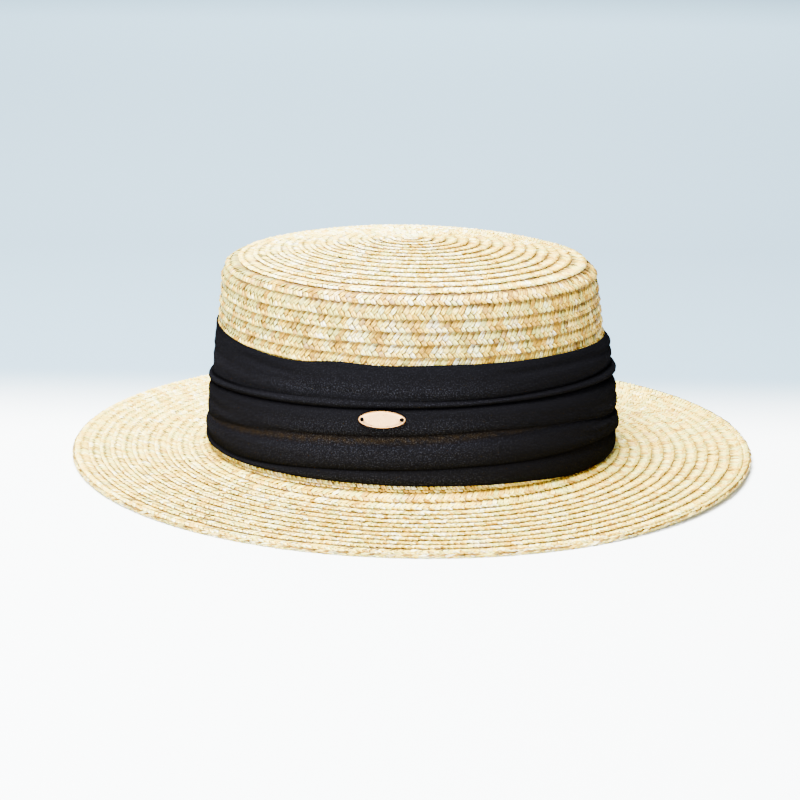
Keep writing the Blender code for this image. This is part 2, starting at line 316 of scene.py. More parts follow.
def strand_faces(count, n):
    """Corner numbers of closed strands with n places each."""
    quads = []
    for i in range(n - 1):
        for j in range(2):
            quads.append((3 * i + j, 3 * i + 3 + j, 3 * i + 4 + j, 3 * i + j + 1))
        quads.append((3 * i, 3 * i + 2, 3 * i + 5, 3 * i + 3))
    last = 3 * (n - 1)
    ends = [(0, 1, 2), (last, last + 2, last + 1)]
    base = (np.arange(count) * 3 * n)[:, None, None]
    return (np.array(quads)[None] + base).reshape(-1, 4), (np.array(ends)[None] + base).reshape(-1, 3)


def leg_corners(leg, width):
    """The two ends of a leg, each two points (along the row, down it)."""
    zig = width * SLOPE / 2
    high, low = CREST - zig / 2, CREST + zig / 2
    left = width - (low - LEG_START) / SLOPE
    if leg == "long":
        return np.array([[(0, LEG_START), (width, LEG_START)],
                         [(-(high - LEG_START) / SLOPE, high), (left, low)]])
    right = left + (low - high) / SLOPE
    run = (BRAID - low) / SLOPE
    return np.array([[(left, low - LEG_LAP), (right, high - LEG_LAP)],
                     [(left + run, BRAID), (left + run + width, BRAID)]])


class Braid:
    """Collects the strands of many rows, to be made into one mesh."""

    def __init__(self, surface, inside=False, **look):
        self.surface, self.inside, self.look = surface, inside, {**BRAID_LOOK, **look}
        self.pick = np.array([0, 2, 4]) if inside else np.arange(5)  # the places drawn along a strand
        self.points, self.tones, self.flats = [], [], []
        self.count = 0

    def add_row(self, edge, radius, turn, width=BRAID, drop=0.0, light=0.0):
        """One row round the hat. turn gives how far its free edge has moved, by turns from the back."""
        look = self.look
        n = max(8, int(round(2 * math.pi * radius / COLUMN)))
        step = 2 * math.pi * radius / n
        column = np.arange(n)
        turned = (column + rng.uniform(0.1, 0.9) + rng.uniform(-0.07, 0.07, n)) / n
        wave = np.cumsum(rng.normal(0, 0.25, n)) + rng.uniform(0, 6.3)
        swing = TONE_SWING * look["patchy"] * rng.uniform(0.5, 1.2)
        lightness = TONE + light + look["light"] + swing * np.cos(2 * math.pi * column / STRANDS + wave)
        tone = np.stack((lightness, rng.uniform(0, 1, n), rng.uniform(0, 1, n)), -1)
        strand = column % STRANDS
        straw = (column + strand * 31 + self.count * 17) // STRAW_LIFE + strand * 101 + self.count
        tone += (STRAWS[straw % len(STRAWS)] - 0.5) * STRAW_SPREAD * look["patchy"]
        aside = np.sin(2 * math.pi * turned)  # 1 at the left and -1 at the right
        tone[:, 0] = (tone[:, 0] - TONE) * (1 - 0.35 * aside ** 2) + TONE
        angle = 2 * math.pi * turned + math.pi / 2
        # Painted shade: strands darker, and greener, towards the hat's left and right
        for leg, (left, right) in look["shade"].items():
            shaded = tone - np.outer(np.where(aside > 0, left, right) * aside ** 2, (1, 0, 0))
            shaded[:, 1] += np.where(aside > 0, OLIVE * left, look["cool"]) * aside ** 2
            self.add_legs(leg, edge + turn(turned), radius, angle, step, shaded, drop, width / BRAID)
        self.count += 1

    def add_legs(self, leg, edge, radius, angle, width, tone, drop, narrow):
        """All the long or all the short legs of one row."""
        look, n = self.look, len(angle)
        along, across = ALONG.copy(), ACROSS[leg]
        # dark gives the painted shade along a leg: shadow under the row before, and shade on its sides
        # and at its ends
        if leg == "long":
            along[1] = look["dive"]
            dark = np.array([1.0, 1.0, look["reach"], 0.0, 0.6 * look["fold"]])
            dots, slim = np.array(look["dots"]), LONG_WIDTH * look["fill"]
        else:
            dark = np.array([look["fold"], 0.1, 0.0, 0.0, look["end"]])
            dots, slim = np.ones(3), np.append(SHORT_WIDTH, look["end_width"])
        along, dark, slim, rise = along[self.pick], dark[self.pick], slim[self.pick], RISE[leg][self.pick]

        corners = leg_corners(leg, width)[None] + rng.normal(0, CORNER_NOISE, (n, 2, 2, 2))
        a = along[None, :, None, None]
        b = (across[None, None, :, None] * slim[None, :, None, None] + 1) / 2
        start, end = corners[:, None, None, 0], corners[:, None, None, 1]
        start = start[..., 0, :] * (1 - b) + start[..., 1, :] * b
        end = end[..., 0, :] * (1 - b) + end[..., 1, :] * b
        flat = start * (1 - a) + end * a
        if leg == "short":
            flat[..., 1] -= FREE_END_ALONG[self.pick][None, :, None] * FREE_END_ACROSS * MM
        sideways, down = flat[..., 0], flat[..., 1] * narrow
        distance = edge[:, None, None] + (down - BRAID * narrow) * (-1 if self.inside else 1)
        theta = angle[:, None, None] + sideways / radius

        lift = rise[None, :, None] + DIP[leg]
        for noise_size, shape in ((LIFT_NOISE, 1.0), (ROLL_NOISE, across[None, None, :]),
                                  (PITCH_NOISE, along[None, :, None] - 0.5)):
            lift = lift + rng.normal(0, noise_size, (n, 1, 1)) * shape * look["uneven"]
        depth = look["stand"] * (1 - down / (BRAID * narrow)) - lift + drop
        if self.inside:
            depth = INSIDE_DEPTH - INSIDE_RELIEF * depth
        self.points.append(self.surface(distance, theta, depth).reshape(-1, 3))

        own = tone + rng.normal(0, STRAND_SPREAD, tone.shape) * (1 - 0.45 * np.cos(angle) ** 2)[:, None]
        # Painted shadow near the row before, stronger towards the hat's right, and painted shade on the
        # strands' sides, stronger at the hat's sides; the stronger goes into the tone's fourth number
        lines = np.outer(dark * look["line"], dots)[None] * (1 + 0.25 * np.cos(angle))[:, None, None]
        folds = (SIDE_PAINTED_SHADE[leg] * look["fold"])[None, None]
        folds = folds * (1 + 0.3 * np.abs(np.cos(angle)))[:, None, None]
        tones = np.zeros(sideways.shape + (4,))
        tones[..., :3] = np.clip(own, 0, 1)[:, None, None, :]
        darkest = np.maximum(lines, folds)
        tones[..., 3] = np.clip(darkest * rng.uniform(look["faint"], 1.1, (n, 1, 1)), 0, 1)
        self.tones.append(tones.reshape(-1, 4))
        # Each strand has its own place on the pattern of stripes
        place = np.broadcast_arrays(across[None, None, :] + 4 * rng.integers(0, 400, (n, 1, 1)),
                                    along[None, :, None] * 4.0 + 8 * rng.uniform(0, 50, (n, 1, 1)))
        self.flats.append(np.stack(place, -1).reshape(-1, 2))

    def make(self, name, material):
        """Make the mesh of all the rows."""
        points = np.concatenate(self.points)
        points[:, 2] = np.maximum(points[:, 2], LOWEST)
        quads, ends = strand_faces(len(points) // (3 * len(self.pick)), len(self.pick))
        obj = make_mesh(name, points, quads, ends)
        add_colours(obj, "tone", np.concatenate(self.tones))
        add_flat_map(obj, np.concatenate(self.flats))
        obj.data.materials.append(material)
        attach(obj, "root")
        return obj


# Materials of the straw

# From the darkest straw to the lightest
STRAW_COLOURS = ((0.00, (0.26, 0.13, 0.006, 1)), (0.22, (0.54, 0.32, 0.013, 1)),
                 (0.45, (0.80, 0.56, 0.040, 1)), (0.72, (0.96, 0.80, 0.150, 1)),
                 (1.00, (1.00, 1.00, 0.72, 1)))
GREENER_STRAW = (0.62, 0.65, 0.16, 1)
PINKER_STRAW = (0.84, 0.50, 0.06, 1)
RIB_COLOUR = (0.22, 0.105, 0.006, 1)
# Painted shade near the row before, on the strands' sides and at their free ends, for glossy and for dull
# straw
PAINTED_SHADE_COLOURS = (0.20, 0.105, 0.014, 1), (0.055, 0.028, 0.006, 1)
CORE_PAINTED_SHADE_COLOURS = (0.3, (0.07, 0.032, 0.003, 1)), (0.7, (0.18, 0.09, 0.007, 1))


def new_material(name):
    """A new material, its node tree and its shader."""
    material = bpy.data.materials.new(name)
    material.use_nodes = True
    tree = material.node_tree
    return material, tree, tree.nodes["Principled BSDF"]


def join(tree, made, inputs):
    """Join or set the inputs of a node."""
    for key, value in inputs.items():
        if isinstance(value, bpy.types.NodeSocket):
            tree.links.new(value, made.inputs[key])
        else:
            made.inputs[key].default_value = value


def node(tree, kind, inputs=None, **values):
    """Add a node, set its properties and join or set its inputs."""
    made = tree.nodes.new(kind)
    for key, value in values.items():
        setattr(made, key, value)
    join(tree, made, inputs or {})
    return made


def noise(tree, place, scale, detail=2.0):
    """A noise pattern."""
    made = node(tree, "ShaderNodeTexNoise", {"Vector": place, "Scale": scale, "Detail": detail})
    return made.outputs[0]


def remap(tree, value, start, end, low=0.0, high=1.0, kind="LINEAR"):
    """A number taken from one range to another, and kept inside it."""
    return node(tree, "ShaderNodeMapRange", {0: value, 1: start, 2: end, 3: low, 4: high},
                interpolation_type=kind).outputs[0]


def maths(tree, operation, *numbers):
    """One operation on numbers or sockets."""
    return node(tree, "ShaderNodeMath", dict(enumerate(numbers)), operation=operation).outputs[0]


def mix_colour(tree, factor, a, b):
    """Mix two colours, each a socket or four numbers."""
    return node(tree, "ShaderNodeMix", {"Factor": factor, 6: a, 7: b}, data_type="RGBA").outputs[2]


def ramp(tree, factor, stops):
    """A colour ramp from (place, colour) rows."""
    made = node(tree, "ShaderNodeValToRGB", {"Fac": factor})
    elements = made.color_ramp.elements
    while len(elements) < len(stops):
        elements.new(0.5)
    for element, (place, colour) in zip(elements, stops):
        element.position = place
        element.color = colour
    return made.outputs["Color"]


def bump(tree, height, strength, distance):
    """Shading as if a pattern stood out from the surface."""
    made = node(tree, "ShaderNodeBump", {"Height": height, "Strength": strength, "Distance": distance})
    return made.outputs[0]


def straw_material(name, ribbed):
    """Glossy split straw, with a tone for each strand and fine stripes and ribs along it."""
    material, tree, shader = new_material(name)
    # The tone holds lightness, tint and dullness, and fourth the painted shade
    tone = node(tree, "ShaderNodeAttribute", attribute_name="tone", attribute_type="GEOMETRY")
    parts = node(tree, "ShaderNodeSeparateColor", {"Color": tone.outputs["Color"]})
    (lightness, tint, dull), painted_shade = parts.outputs, tone.outputs["Alpha"]
    place = node(tree, "ShaderNodeUVMap", uv_map="flat").outputs[0]
    stretched = node(tree, "ShaderNodeMapping", {0: place, 3: (1.15, 0.30, 1)}).outputs[0]
    stripes = noise(tree, stretched, 1.6, 3.0)
    across = node(tree, "ShaderNodeSeparateXYZ", {0: place}).outputs[0]
    ribs = maths(tree, "MULTIPLY_ADD", across, 0.75, maths(tree, "MULTIPLY_ADD", stripes, 0.8, 0.6))
    ribs = maths(tree, "PINGPONG", ribs, 0.5)
    rib_depth = remap(tree, dull, 0.0, 1.0, ribbed, ribbed * 0.3)
    level = maths(tree, "ADD", lightness, remap(tree, stripes, 0.32, 0.68, -0.34, 0.34))
    colour = ramp(tree, level, STRAW_COLOURS)
    colour = mix_colour(tree, remap(tree, tint, 0.74, 0.98, 0.0, 0.65), colour, GREENER_STRAW)
    colour = mix_colour(tree, remap(tree, tint, 0.26, 0.04, 0.0, 0.5), colour, PINKER_STRAW)
    colour = mix_colour(tree, remap(tree, ribs, 0.0, 0.30, rib_depth, 0.0), colour, RIB_COLOUR)
    # Painted shade from the tone's fourth number: darker brown, and no gloss, near the row before, on the
    # strands' sides and at their free ends
    colour = mix_colour(tree, painted_shade, colour, mix_colour(tree, dull, *PAINTED_SHADE_COLOURS))
    gloss = remap(tree, dull, 0.5, 1.0, 0.12, 1.0)
    gloss = maths(tree, "MULTIPLY", gloss, maths(tree, "SUBTRACT", 1.0, painted_shade))
    join(tree, shader, {"Base Color": colour, "Roughness": remap(tree, dull, 0.0, 1.0, 0.22, 0.50),
                        "Specular IOR Level": gloss, "Normal": bump(tree, stripes, 0.5, 0.3 * MM)})
    return material


def straw_core_material():
    """The straw core seen in the gaps between strands: dark and warm, as painted shade."""
    material, tree, shader = new_material("straw_core_painted_shade")
    place = node(tree, "ShaderNodeTexCoord").outputs["Object"]
    colour = ramp(tree, noise(tree, place, 900.0), CORE_PAINTED_SHADE_COLOURS)
    join(tree, shader, {"Base Color": colour, "Roughness": 0.8})
    return material


RIBBED_STRAW = straw_material("ribbed_straw", 0.95)
STRAW = straw_material("smooth_straw", 0.55)
STRAW_CORE = straw_core_material()

# Crown and brim

CORE_OUTSIDE, CORE_INSIDE = 1.02 * MM, 1.20 * MM  # depths of the core's two faces in the straw
TIP_END = 84  # mm from the middle of the tip: the rows before it are the tip's
LINING_ROWS = np.linspace(2.0, CROWN.total / MM - 7.0, 31)  # mm, on the inner faces
UNDER_ROWS = np.linspace(1.5, BRIM.total / MM - 7.1, 11)
OUTER_ROWS_START = 36  # mm from the crown's foot
FOOT_ROWS_END = 8  # the rows before it get painted shade, as they lie in the band's shade
EDGING_WIDTH = 1.75 * MM


def wall(name, surface, first, last, segments, steps):
    """The closed wall of straw under the strands."""
    angle = np.linspace(0, 2 * math.pi, segments, endpoint=False)
    rings = [surface(np.full(segments, distance), angle, depth)
             for start, end, depth in ((first, last, CORE_OUTSIDE), (last, first, CORE_INSIDE))
             for distance in np.linspace(start, end, steps)]
    obj = make_mesh(name, np.concatenate(rings), ring_grid((len(rings), segments))[:, ::-1])
    obj.data.materials.append(STRAW_CORE)
    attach(obj, "root")
    return obj


def crown_turn(turned):
    """How far a row's edge has moved on the crown."""
    return CROWN_TURN * MM * (turned - 0.5)


def brim_turn(turned):
    """How far a row's edge has moved on the brim."""
    return np.interp(turned * 360, *zip(*BRIM_TURN)) * MM


def no_turn(turned):
    """The edge of a row that closes on itself."""
    return 0 * turned


def row_width(rows, i):
    """The width that a row needs to reach under the row before."""
    return (rows[i] - rows[i - 1]) * MM + OVERLAP if i else BRAID


def make_crown():
    """The crown: strands outside and inside over a dark core."""
    tip, side = Braid(on_crown, **TIP_LOOK), Braid(on_crown, **SIDE_LOOK)
    lining = Braid(on_crown, inside=True)
    for i, edge in enumerate(CROWN_ROWS):
        radius = max(CROWN.at(edge * MM, 0)[0] - 2.2 * MM, 1.8 * MM)
        braid = tip if edge < TIP_END else side
        braid.add_row(edge * MM, radius, crown_turn, min(row_width(CROWN_ROWS, i), edge * MM + 1.0 * MM))
    # The row under the band's hem is lightened: painted light against the band's shade
    side.add_row(CROWN.total + 0.4 * MM, FOOT_HALF_WIDTH, no_turn, drop=-0.7 * MM, light=0.4)
    for edge in LINING_ROWS:
        lining.add_row(edge * MM, max(CROWN.at((edge + 3) * MM, 0)[0], 2 * MM), crown_turn)
    pieces = (tip.make("crown_tip_braid", STRAW), side.make("crown_side_braid", RIBBED_STRAW),
              lining.make("crown_inner_braid", STRAW),
              wall("crown_core", on_crown, 0.15 * MM, CROWN.total, 240, 60))
    for piece in pieces:
        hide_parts("crown")


def make_brim():
    """The brim: strands on top and underneath over a dark core, and the row that forms the rim."""
    inner, outer = Braid(on_brim, **BRIM_LOOK), Braid(on_brim, **BRIM_LOOK)
    rim, edging = Braid(on_brim, end=1.6, **BRIM_LOOK), Braid(on_rim, **EDGING_LOOK)
    under = Braid(on_brim, inside=True)
    for i, edge in enumerate(BRIM_ROWS):
        braid = inner if edge < OUTER_ROWS_START else outer
        # The rows by the band are darkened as painted shade
        braid.add_row(edge * MM, FOOT_HALF_WIDTH + (edge - 2) * MM, brim_turn, row_width(BRIM_ROWS, i),
                      light=-0.27 if edge < FOOT_ROWS_END else 0.0)
    edge_radius = FOOT_HALF_WIDTH + BRIM_REACH_SIDE
    rim.add_row(BRIM.total - 0.5 * MM, edge_radius - 2 * MM, no_turn, drop=0.30 * MM)
    edging.add_row(1.8 * MM, edge_radius, no_turn, EDGING_WIDTH, drop=-0.25 * MM)
    for edge in UNDER_ROWS:
        under.add_row(edge * MM, FOOT_HALF_WIDTH + (edge + 3) * MM, no_turn)
    pieces = [braid.make(name, STRAW) for name, braid in (
        ("brim_inner_braid", inner), ("brim_outer_braid", outer), ("brim_rim_braid", rim),
        ("brim_edging", edging), ("brim_under_braid", under))]
    pieces.append(wall("brim_core", on_brim, 0.3 * MM, BRIM.total - 0.6 * MM, 300, 24))
    for piece in pieces:
        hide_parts("brim")


make_crown()
make_brim()

# Band

# Knots are (degrees, millimetres): -180 is the left, -90 the front, 0 the right, 90 the back
# Heights of the hems and creases
BAND_LEVELS = {
    "top": ((-180, 60), (-165, 60.6), (-152, 59.4), (-140, 58.4), (-128, 57.6), (-121, 57.7),
            (-113, 60), (-108, 60.1), (-100, 59.3), (-80, 60.1), (-62, 59.6), (-45, 59.4),
            (-29, 58.5), (-15, 57.2), (0, 54.6), (45, 55.2), (90, 56.3), (135, 58.2)),
    "a": ((-180, 35.6), (-170, 37), (-161, 38.6), (-150, 40.2), (-141, 41.2), (-127, 42.8),
          (-109, 45), (-95, 45.4), (-88, 45), (-73, 45.2), (-53, 45.6), (-41, 45.5), (-30, 45.2),
          (-15, 44.2), (-5, 43.2), (0, 43), (40, 40.5), (90, 41.5), (140, 38)),
    "b": ((-180, 31.6), (-165, 34.2), (-153, 36.2), (-141, 37.8), (-131, 38.9), (-121, 39.8),
          (-109, 40.7), (-97, 41.6), (-83, 42.3), (-66, 42.7), (-46, 42.2), (-30, 41.2), (-24, 40.3),
          (-5, 37), (0, 36.6), (40, 36), (90, 37.5), (140, 34)),
    "c": ((-180, 16.5), (-162, 18.9), (-146, 21.7), (-130, 24.5), (-120, 26), (-109, 27.3),
          (-98, 28.3), (-89, 28.6), (-80, 29.6), (-69, 30.3), (-52, 30), (-38, 28.6), (-14, 22.4),
          (0, 20), (40, 21.5), (90, 25), (140, 21)),
    "d": ((-180, 9.5), (-162, 9.2), (-143, 9.6), (-130, 11.4), (-114, 14), (-98, 15.5), (-75, 16.9),
          (-58, 16.8), (-36, 16.3), (-24, 15.4), (-16, 13.8), (-6, 11.4), (0, 10.6), (45, 11.5),
          (90, 14), (140, 11.5)),
    "bottom": ((-180, 5.1), (-166, 6.1), (-148, 7.2), (-130, 8.3), (-106, 9.3), (-80, 9.1), (-58, 7.9),
               (-44, 5.9), (-19, 4.9), (0, 4.9), (45, 6.4), (90, 9), (135, 7.6)),
}
# How far the cloth stands off the straw there, and at the fullest place between
BAND_PROUD = {
    "top": ((-180, 0.75), (-90, 0.85), (-45, 0.95), (0, 1.4), (90, 0.9)),
    "top-a": ((-180, 1), (-150, 1.3), (-120, 1.9), (-90, 2.3), (-45, 2.3), (0, 3), (90, 2)),
    "a": ((-180, 0.9), (-150, 0.9), (-130, 1.2), (-118, 1.8), (-100, 2.1), (-85, 1.6), (-60, 0.9),
          (-25, 1), (0, 2), (90, 1.3)),
    "a-b": ((-180, 2.7), (-150, 2.4), (-120, 2.3), (-90, 2.2), (-45, 2.4), (-20, 3.3), (0, 4.8),
            (90, 2.4)),
    "b": ((-180, 1.3), (-135, 0.8), (-90, 0.75), (-45, 0.8), (-20, 1), (0, 2), (90, 1)),
    "b-c": ((-180, 2.3), (-90, 2.4), (-45, 2.7), (0, 3.8), (90, 2.5)),
    "c": ((-180, 1.9), (-135, 1.5), (-90, 1.2), (-60, 1.4), (0, 1.8), (90, 1.6)),
    "c-d": ((-180, 2.7), (-90, 2.5), (-45, 2.8), (0, 4), (90, 2.7)),
    "d": ((-180, 2.1), (-135, 1.7), (-90, 1.5), (-45, 1.5), (0, 1.7), (90, 1.6)),
    "d-bottom": ((-180, 2.7), (-90, 2.1), (-45, 2), (0, 2), (90, 2.1)),
    "bottom": ((-180, 1.5), (-90, 1.1), (0, 1.3), (90, 1.2)),
}
# Painted shade in the creases at those lines
BAND_CREASE_SHADE = {
    "a": ((-180, 1), (-148, 1), (-132, 0.5), (-115, 0.3), (-85, 0.5), (-60, 0.85), (0, 0.95),
          (90, 0.8)),
    "b": ((-180, 0.9), (-120, 0.8), (-90, 0.9), (-45, 0.9), (0, 0.9), (90, 0.8)),
    "c1": ((-180, 0.2), (-130, 0.3), (-105, 0.75), (-75, 0.75), (-45, 0.4), (0, 0.3), (90, 0.3)),
    "d": ((-180, 0.5), (-150, 0.7), (-110, 0.8), (-45, 0.8), (0, 0.5), (90, 0.5)),
}
SHEEN_STEPS = (0.0, 0.25, 0.5, 0.75, 1.0)  # down each fold
# Painted sheen: how much the grain shines at those steps, and round the hat
BAND_SHEEN = {"top-a": (0.15, 0.15, 0.35, 1, 0.2), "a-b": (0.2, 0.4, 0.45, 0.3, 0.1),
              "b-c1": (0.1, 0.15, 0.5, 0.85, 0.8), "c1-c2": (1, 1, 1, 1, 1),
              "c2-d": (0.7, 0.75, 0.65, 0.5, 0.3), "d-bottom": (0.1, 0.2, 0.5, 0.9, 0.7)}
SHEEN_ROUND = ((-180, 0.7), (-165, 0.9), (-155, 0.5), (-145, 0.35), (-134, 0.45), (-123, 0.7),
               (-113, 1), (-78, 1), (-64, 0.3), (-50, 0.1), (-35, 0.12), (-20, 0.5), (0, 0.5),
               (40, 0.2), (120, 0.2))
# Half the height of the streak where the cloth lies thin
SHEER_HALF = ((-180, 0.2), (-166, 0.6), (-140, 1.6), (-100, 1.9), (-75, 1.7), (-60, 1), (-45, 0.3),
              (0, 0.2), (120, 0.2))
# (degrees, height) knots, the degrees between which a wrinkle shows, its depth and height in mm
BAND_WRINKLES = (
    (((-70, 55.4), (-42, 55.3), (-30, 54.7), (-15, 52.3), (5, 50)), (-72, 20), -0.80, 1.3),
    (((-150, 56), (-135, 54), (-120, 52.5)), (-152, -112), -0.50, 1.2),
    (((-135, 50.5), (-120, 48.4), (-100, 47.5)), (-140, -90), -0.22, 1.5),
    (((-125, 60), (-112, 57.8), (-98, 57.6)), (-128, -92), -0.35, 1),
    (((-60, 36), (-30, 33), (0, 29)), (-58, 25), -0.30, 1.6),
    (((-50, 25), (-20, 18.4), (0, 16)), (-48, 20), -0.35, 1.4),
    (((-40, 48), (-15, 47), (5, 46.5)), (-40, 25), -0.35, 1.2),
    (((-180, 48), (-160, 50), (-140, 48)), (-178, -140), -0.20, 1.6),
    (((-180, 25), (-160, 27), (-140, 30)), (-178, -135), -0.20, 1.6),
    (((30, 47), (70, 46), (120, 50)), (28, 130), -0.4, 1.5),
    (((60, 31), (100, 30), (150, 27)), (55, 155), -0.4, 1.5),
)
# Low waves: how often each drifts round the hat, its height in mm, its start and its share
BAND_WAVES = ((1, 5.3, 0.4, 1.0), (2, 7.9, 2.2, 1.1), (3, 4.1, 4.0, 0.7), (2, 3.2, 1.1, 0.5))
BAND_LINES = ("top", "a", "b", "c1", "c2", "d", "bottom")
FOLD_ROWS = (20, 9, 16, 7, 16, 12)  # rows of points down each fold
FOLD_PLUMP = (3.6, 2.0, 4.2, 2, 3.0, 2.6)  # how square each fold is
# The least painted sheen of the grain
LEAST_SHEEN = 0.10
CLOTH = 0.35 * MM
OFF_STRAW = 0.35 * MM
BAND_COLUMNS = 720
BAND_BACK_ROWS = 14

PLATE_LENGTH = 19.9 * MM
PLATE_HEIGHT = 7.2 * MM
PLATE_MIDDLE_HEIGHT = 37.6 * MM
PLATE_ASIDE = -13.1 * MM
PLATE_TILT = math.radians(2.0)
PLATE_BACK = 2.7 * MM
PLATE_SEGMENTS = 120
THREAD_HOLE = 1.9 * MM
THREAD_HOLE_SPACING = 16.8 * MM
THREAD_RADIUS = 0.33 * MM
# Share of the plate's size, and millimetres out from its back
PLATE_FACE = ((1.0, 0.18), (0.997, 0.40), (0.985, 0.58), (0.962, 0.68), (0.915, 0.70), (0.890, 0.66),
              (0.870, 0.64), (0.7, 0.645), (0.45, 0.65), (0.2, 0.65), (0.02, 0.65))
PLATE_REAR = ((0.02, 0.0), (0.45, 0.0), (0.8, 0.0), (0.97, 0.0), (0.992, 0.06))
PLATE_RIM_ROWS = 5  # rows of faces at the edge that get the painted darker reflection


def round_hat(knots, angle):
    """A smooth value in metres round the hat, through knots of degrees and millimetres."""
    degrees = np.arange(-180, 180)
    table = np.interp(degrees, *zip(*knots), period=360)
    weights = np.exp(-0.5 * (np.arange(-9, 10) / 3.5) ** 2)
    looped = np.concatenate((table[-9:], table, table[:9]))
    table = np.convolve(looped, weights / weights.sum(), "valid")
    return np.interp(np.degrees(angle), degrees, table, period=360) * MM


def on_band(angle, height, proud):
    """Points round the crown's side that stand off it."""
    radius = side_radius(height) + proud
    across = radius * np.cos(angle) + shift(height)
    return np.stack((across, radius * LENGTH_RATIO * np.sin(angle), height), -1)


def fall_off(gap, above, below):
    """A smooth peak at zero, with its own width on each side."""
    return np.where(gap > 0, np.exp(-(gap / above) ** 2), np.exp(-(gap / below) ** 2))


def wrinkles(angle, height):
    """Low soft folds that run round the band, stronger at its right end."""
    wrap = np.degrees(angle + math.pi) % 360 - 180
    strength = 0.05 + 0.16 * np.exp(-(wrap / 45) ** 2)
    strength = strength + 0.06 * np.exp(-((np.abs(wrap) - 180) / 50) ** 2)
    total = 0 * height
    for count, tall, phase, share in BAND_WAVES:
        drift = 1.6 * np.sin(count * angle + phase)
        window = 0.5 + 0.5 * np.sin((count + 1) * angle + 2 * phase)
        total += share * window * np.sin(2 * math.pi * height / (tall * MM) + drift * 2 + phase)
    total = total * strength
    for knots, ends, depth, tall in BAND_WRINKLES:
        at = np.interp(wrap, *zip(*knots)) * MM
        fade = np.clip((wrap - ends[0]) / 14, 0, 1) * np.clip((ends[1] - wrap) / 14, 0, 1)
        total += depth * fade * fall_off((height - at) / (tall * MM), 0.6, 1.4)
    return total * MM


def band_sections(angle):
    """Heights, stand-offs, painted shade and painted sheen of the band's rows, and its thin streak."""
    level = {key: round_hat(knots, angle) for key, knots in BAND_LEVELS.items()}
    proud = {key: round_hat(knots, angle) for key, knots in BAND_PROUD.items()}
    sheer = round_hat(SHEER_HALF, angle)
    level["c1"], level["c2"] = level["c"] + sheer, level["c"] - sheer
    proud["c1"] = proud["c2"] = proud["c"]
    proud["b-c1"], proud["c1-c2"], proud["c2-d"] = proud["b-c"], proud["c"] - 0.15 * MM, proud["c-d"]
    heights, prouds, edges, sheens = [], [], [], []
    for upper, lower, rows, plump in zip(BAND_LINES, BAND_LINES[1:], FOLD_ROWS, FOLD_PLUMP):
        fold = upper + "-" + lower
        for i in range(rows + (lower == "bottom")):
            t = 0.5 - 0.5 * math.cos(math.pi * i / rows)
            heights.append(level[upper] * (1 - t) + level[lower] * t)
            base = proud[upper] * (1 - t) + proud[lower] * t
            full = 1 - abs(2 * t - 1) ** plump
            prouds.append(base + (proud[fold] - base) * full)
            edges.append(abs(2 * t - 1) ** 3)
            sheens.append(np.interp(t, SHEEN_STEPS, BAND_SHEEN[fold]))
    heights, prouds = np.array(heights), np.array(prouds)
    prouds = prouds + wrinkles(angle[None], heights)
    # Painted shade: darker towards the creases at the edges of each fold, and in the creases themselves
    dark = 0.40 * np.array(edges)[:, None] + 0 * heights
    for key, knots in BAND_CREASE_SHADE.items():
        crease_shade = round_hat(knots, angle) / MM * fall_off((heights - level[key]) / MM, 0.9, 0.5)
        dark = np.maximum(dark, crease_shade)
    # Painted sheen of the grain
    shine = LEAST_SHEEN + np.array(sheens)[:, None] * round_hat(SHEEN_ROUND, angle) / MM
    return heights, np.maximum(prouds, OFF_STRAW + CLOTH), dark, shine, level["c"], sheer


def make_band():
    """The crepe band: an outside with its folds, hems turned in, and a plain inside."""
    angle = np.linspace(-math.pi, math.pi, BAND_COLUMNS, endpoint=False)
    heights, prouds, dark, shine, streak, sheer = band_sections(angle)
    top, bottom = heights[0], heights[-1]
    rings = [(top + 0.18 * MM, prouds[0] - 0.45 * CLOTH)] + list(zip(heights, prouds))
    rings.append((bottom - 0.18 * MM, prouds[-1] - 0.45 * CLOTH))
    for share in np.linspace(0, 1, BAND_BACK_ROWS):
        rings.append((bottom + (top - bottom) * share, 0 * top + OFF_STRAW))
    count = len(rings)
    points = np.concatenate([on_band(angle, h, p) for h, p in rings])
    obj = make_mesh("band_cloth", points, ring_grid((count, BAND_COLUMNS))[:, ::-1], smooth_angle=80)
    height = np.concatenate([h for h, p in rings])
    off_streak = np.abs(height - np.tile(streak, count)) / np.tile(sheer + 0.3 * MM, count)
    thin = np.clip(1.25 - off_streak, 0, 1) * np.tile(np.clip((sheer / MM - 0.4) / 1.0, 0, 1), count)
    outside = slice(BAND_COLUMNS, BAND_COLUMNS * (1 + len(heights)))
    colours = np.zeros((len(points), 4))
    # Each point keeps the thin streak, the painted shade and the painted sheen
    colours[:, 0] = thin
    colours[outside, 1] = dark.ravel()
    colours[outside, 2] = shine.ravel()
    add_colours(obj, "sheer", colours)
    along = np.tile(angle * FOOT_HALF_WIDTH, count) / MM
    add_flat_map(obj, np.stack((along, height / MM), -1))
    obj.data.materials.append(CREPE)
    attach(obj, "root")
    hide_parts("band")


def plate_point(aside, up, out):
    """A point on or over the plate, bent round the hat."""
    height = PLATE_MIDDLE_HEIGHT + aside * math.sin(PLATE_TILT) + up * math.cos(PLATE_TILT)
    across = aside * math.cos(PLATE_TILT) - up * math.sin(PLATE_TILT)
    rest = side_radius(PLATE_MIDDLE_HEIGHT) + PLATE_BACK
    middle = math.asin((PLATE_ASIDE - shift(PLATE_MIDDLE_HEIGHT)) / rest)
    return on_band(middle + across / rest - math.pi / 2, height, PLATE_BACK + out)


